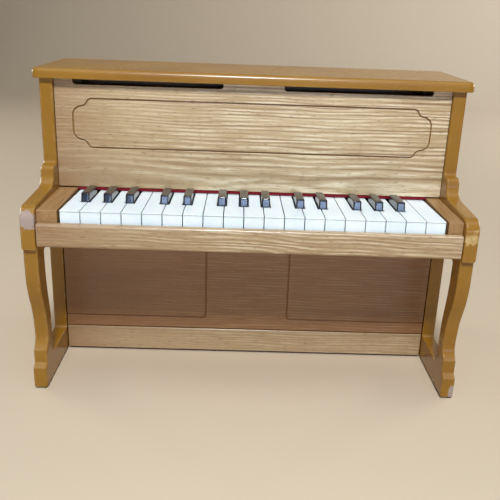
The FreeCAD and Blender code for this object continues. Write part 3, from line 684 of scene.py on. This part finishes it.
# Hardboard: pressed brown fibre with a slightly waxy face and small dark flecks.
hardboard, tree, shader, coords = start_material("smooth_hardboard", Roughness=0.55, IOR=1.48)
clouds = marks(tree, coords, (55, 55, 40), 0.35, 0.65, detail=3.0)
flecks = marks(tree, coords, (3.5, 3.5, 1.6), 0.52, 0.74, detail=5.0)
shade = add_node(
    tree, "ShaderNodeMath", {"operation": "MULTIPLY_ADD", 1: 0.45}, {0: clouds, 2: flecks}
).outputs[0]
colour = add_node(
    tree, "ShaderNodeMix",
    {"data_type": "RGBA", 6: linear(HARDBOARD), 7: linear(HARDBOARD_DARK)}, {0: shade},
).outputs[2]
tree.links.new(colour, shader.inputs["Base Color"])
roughness = add_node(
    tree, "ShaderNodeMapRange", {"To Min": 0.45, "To Max": 0.65}, {"Value": flecks}
).outputs[0]
tree.links.new(roughness, shader.inputs["Roughness"])
bump = add_node(tree, "ShaderNodeBump", {"Strength": 0.3, "Distance": FLECK_DEPTH * mm}, {"Height": flecks})
tree.links.new(bump.outputs[0], shader.inputs["Normal"])
finish_node("back_board", hardboard, edge_mm=0.4)

# Screws
# Bright steel pan-head wood screws with a cross recess: three up each side of the back board,
# and four inside that hold the tube board. They are driven into the back posts.

HEAD_RADIUS = 3.5
HEAD_HEIGHT = 2.2
HEAD_SHOULDER = ((HEAD_RADIUS, 0.9), (3.2, 1.5), (2.7, 1.9))
CROWN_HEIGHT = 2.0
SHANK_RADIUS = 1.6
SHANK_LENGTH = 14.0
POINT_RADIUS = 0.5
POINT_LENGTH = 3.0
RECESS_REACH = 2.0
RECESS_RIM_HEIGHT = 2.1
RECESS_MIDDLE = 0.8
RECESS_ARM_HALF_WIDTH = 0.45
RECESS_DEPTH = 1.3
RECESS_TAPER = 0.6
TURNS = 32
SEAM_WELD = 0.001
BOARD_SCREW_INSET_SHARE = 0.1

# One screw, its seat at the origin and its head towards +Z: a profile turned about Z.
mesh = bmesh.new()
profile = [
    (0, -SHANK_LENGTH), (POINT_RADIUS, -SHANK_LENGTH), (SHANK_RADIUS, POINT_LENGTH - SHANK_LENGTH),
    (SHANK_RADIUS, 0), (HEAD_RADIUS, 0), *HEAD_SHOULDER, (RECESS_REACH, RECESS_RIM_HEIGHT),
    (RECESS_MIDDLE, HEAD_HEIGHT), (0, HEAD_HEIGHT),
]
corners = [mesh.verts.new((r, 0, z)) for r, z in profile]
rim = [mesh.edges.new(pair) for pair in zip(corners, corners[1:])]
bmesh.ops.spin(
    mesh, geom=corners + rim, cent=(0, 0, 0), axis=(0, 0, 1), dvec=(0, 0, 0),
    angle=math.tau, steps=TURNS, use_merge=True, use_duplicate=False,
)
bmesh.ops.remove_doubles(mesh, verts=mesh.verts, dist=SEAM_WELD)
half_step = Matrix.Rotation(math.pi / TURNS, 3, "Z")
bmesh.ops.rotate(mesh, verts=mesh.verts, cent=(0, 0, 0), matrix=half_step)


def in_recess(face):
    """True on the faces at the middle of the head's crown, and along the four arms of the cross."""
    centre = face.calc_center_median()
    reach = centre.xy.length
    on_arm = min(abs(centre.x), abs(centre.y)) < RECESS_ARM_HALF_WIDTH
    return centre.z > CROWN_HEIGHT and (reach < RECESS_MIDDLE or reach < RECESS_REACH and on_arm)


# The cross is taken out of the crown, and its walls run down into the head.
cross = [face for face in mesh.faces if in_recess(face)]
walls = corners_in(bmesh.ops.extrude_face_region(mesh, geom=cross)["geom"])
cross = [face for face in mesh.faces if in_recess(face)]
bmesh.ops.delete(mesh, geom=cross, context="FACES_ONLY")
for corner in walls:
    corner.co = (corner.co.x * RECESS_TAPER, corner.co.y * RECESS_TAPER, HEAD_HEIGHT - RECESS_DEPTH)
bmesh.ops.recalc_face_normals(mesh, faces=mesh.faces)
bmesh.ops.scale(mesh, vec=(mm, mm, mm), verts=mesh.verts)
one_screw = list(mesh.verts) + list(mesh.edges) + list(mesh.faces)

screws_low, screws_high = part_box("cabinet_screws")
board_low, board_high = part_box("tube_board")
back_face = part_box("back_board")[1].y
screw_x = screws_high.x - HEAD_RADIUS * mm
lowest = screws_low.z + HEAD_RADIUS * mm
highest = screws_high.z - HEAD_RADIUS * mm
inset = BOARD_SCREW_INSET_SHARE * (board_high.z - board_low.z)
seats = [(back_face, z, -90) for z in (lowest, (lowest + highest) / 2, highest)]
seats += [(board_low.y, z, 90) for z in (board_low.z + inset, board_high.z - inset)]
for side in (-1, 1):
    for y, z, turn in seats:
        copy = bmesh.ops.duplicate(mesh, geom=one_screw)["geom"]
        placed = Matrix.Translation((side * screw_x, y, z)) @ Matrix.Rotation(math.radians(turn), 4, "X")
        bmesh.ops.transform(mesh, matrix=placed, verts=corners_in(copy))
bmesh.ops.delete(mesh, geom=corners_in(one_screw), context="VERTS")
screws = add_piece("pan_head_screws", mesh, bright_steel)
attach(screws, "cabinet")
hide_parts("cabinet_screws")

# Feet
# Four thin pads under the plinths, cut from dark wool felt.
# They are glued on and keep the paint off the floor.

PAD_DARK = "#222120"

finish_node("feet", wool_felt("dark_wool_felt", GREY_DARK, PAD_DARK), edge_mm=0.4)

# Floor, lights and camera
# A plain pale studio floor of paper that curves up behind, with soft light from high in front, overhead,
# on the backdrop and from each side, and a low strip of cool light. The room beyond the floor is as pale.

FLOOR = "#d1c0a6"
FLOOR_REACH = 3.0
COVE_HEIGHT = 2.0
COVE_RADIUS = 0.9
COVE_STEPS = 16
ROOM = "#f4f2ee"
ROOM_LIGHT = 0.03
ROOM_SEEN = 0.5
SENSOR_WIDTH = 36.0
CAMERA_LENS = 49.8
CAMERA_PLACE = (-13.4, -696.8, 363.7)
CAMERA_TURN = (70.58, -1.99, -0.56)

# Studio paper: matt and even, so that it carries only the piano's shadow.
paper = start_material("studio_paper", Base_Color=linear(FLOOR), Roughness=0.8)[0]
mesh = bmesh.new()
bmesh.ops.create_grid(mesh, x_segments=1, y_segments=1, size=FLOOR_REACH)
far_edge = [edge for edge in mesh.edges if all(corner.co.y > 0 for corner in edge.verts)]
raised = bmesh.ops.extrude_edge_only(mesh, edges=far_edge)["geom"]
bmesh.ops.translate(mesh, verts=corners_in(raised), vec=(0, 0, COVE_HEIGHT))
cove = [edge for edge in mesh.edges if len(edge.link_faces) == 2]
bmesh.ops.bevel(
    mesh, geom=cove, offset=COVE_RADIUS, offset_type="OFFSET",
    affect="EDGES", segments=COVE_STEPS, profile=0.5, material=-1,
)
for face in mesh.faces:
    face.smooth = True
floor = add_piece("floor", mesh, paper)


def soft_light(name, place, aim, size, watts, tint):
    """A rectangular lamp at place, turned to aim, with its width and height in metres."""
    lamp = bpy.data.lights.new(name, "AREA")
    lamp.shape = "RECTANGLE"
    lamp.size, lamp.size_y = size
    lamp.energy = watts
    lamp.color = linear(tint)[:3]
    light = bpy.data.objects.new(name, lamp)
    light.location = place
    light.rotation_euler = (Vector(aim) - Vector(place)).to_track_quat("-Z", "Y").to_euler()
    bpy.context.scene.collection.objects.link(light)


soft_light(
    "ceiling_light", place=(0, -1.2, 1.52), aim=(0, -0.05, 0.2), size=(0.22, 0.22),
    watts=31.5, tint="#f8fbff",
)
soft_light(
    "overhead_softbox", place=(0.05, -0.4, 2.1), aim=(0.05, -0.4, 0), size=(2.0, 0.9),
    watts=9, tint="#f4f8ff",
)
soft_light(
    "low_window_top", place=(0.24, -2.0, 0.474), aim=(0, 0, 0.3), size=(1.3, 0.045),
    watts=5.5, tint="#bcd6ff",
)
soft_light(
    "low_window_sill", place=(0, -2.0, 0.434), aim=(0, 0, 0.3), size=(1.6, 0.034),
    watts=1.2, tint="#8cb4f8",
)
soft_light(
    "backdrop_light", place=(2.0, 1.3, 1.9), aim=(1.8, 2.9, 1.0), size=(1.2, 0.5),
    watts=46, tint="#f0f5ff",
)
for side, name in ((-1, "left_softbox"), (1, "right_softbox")):
    soft_light(
        name, place=(side * 1.9, 0.9, 0.55), aim=(0, 0.05, 0.15), size=(0.9, 0.6),
        watts=16, tint="#f8f6f2",
    )

# The room is seen and mirrored as a pale surround, but adds little light of its own.
world = bpy.data.worlds.new("studio")
world.use_nodes = True
tree = world.node_tree
rays = add_node(tree, "ShaderNodeLightPath").outputs
seen = rays["Is Camera Ray"]
for kind in ("Is Transmission Ray", "Is Glossy Ray"):
    seen = add_node(tree, "ShaderNodeMath", {"operation": "MAXIMUM"}, {0: seen, 1: rays[kind]}).outputs[0]
strength = add_node(
    tree, "ShaderNodeMapRange", {"To Min": ROOM_LIGHT, "To Max": ROOM_SEEN}, {"Value": seen}
).outputs[0]
tree.nodes["Background"].inputs["Color"].default_value = linear(ROOM)
tree.links.new(strength, tree.nodes["Background"].inputs["Strength"])
bpy.context.scene.world = world
bpy.context.scene.view_settings.view_transform = "Standard"

camera = bpy.data.objects.new("camera", bpy.data.cameras.new("camera"))
camera.data.sensor_width = SENSOR_WIDTH
camera.data.lens = CAMERA_LENS
camera.location = [distance * mm for distance in CAMERA_PLACE]
camera.rotation_euler = [math.radians(turn) for turn in CAMERA_TURN]
bpy.context.scene.collection.objects.link(camera)
bpy.context.scene.camera = camera
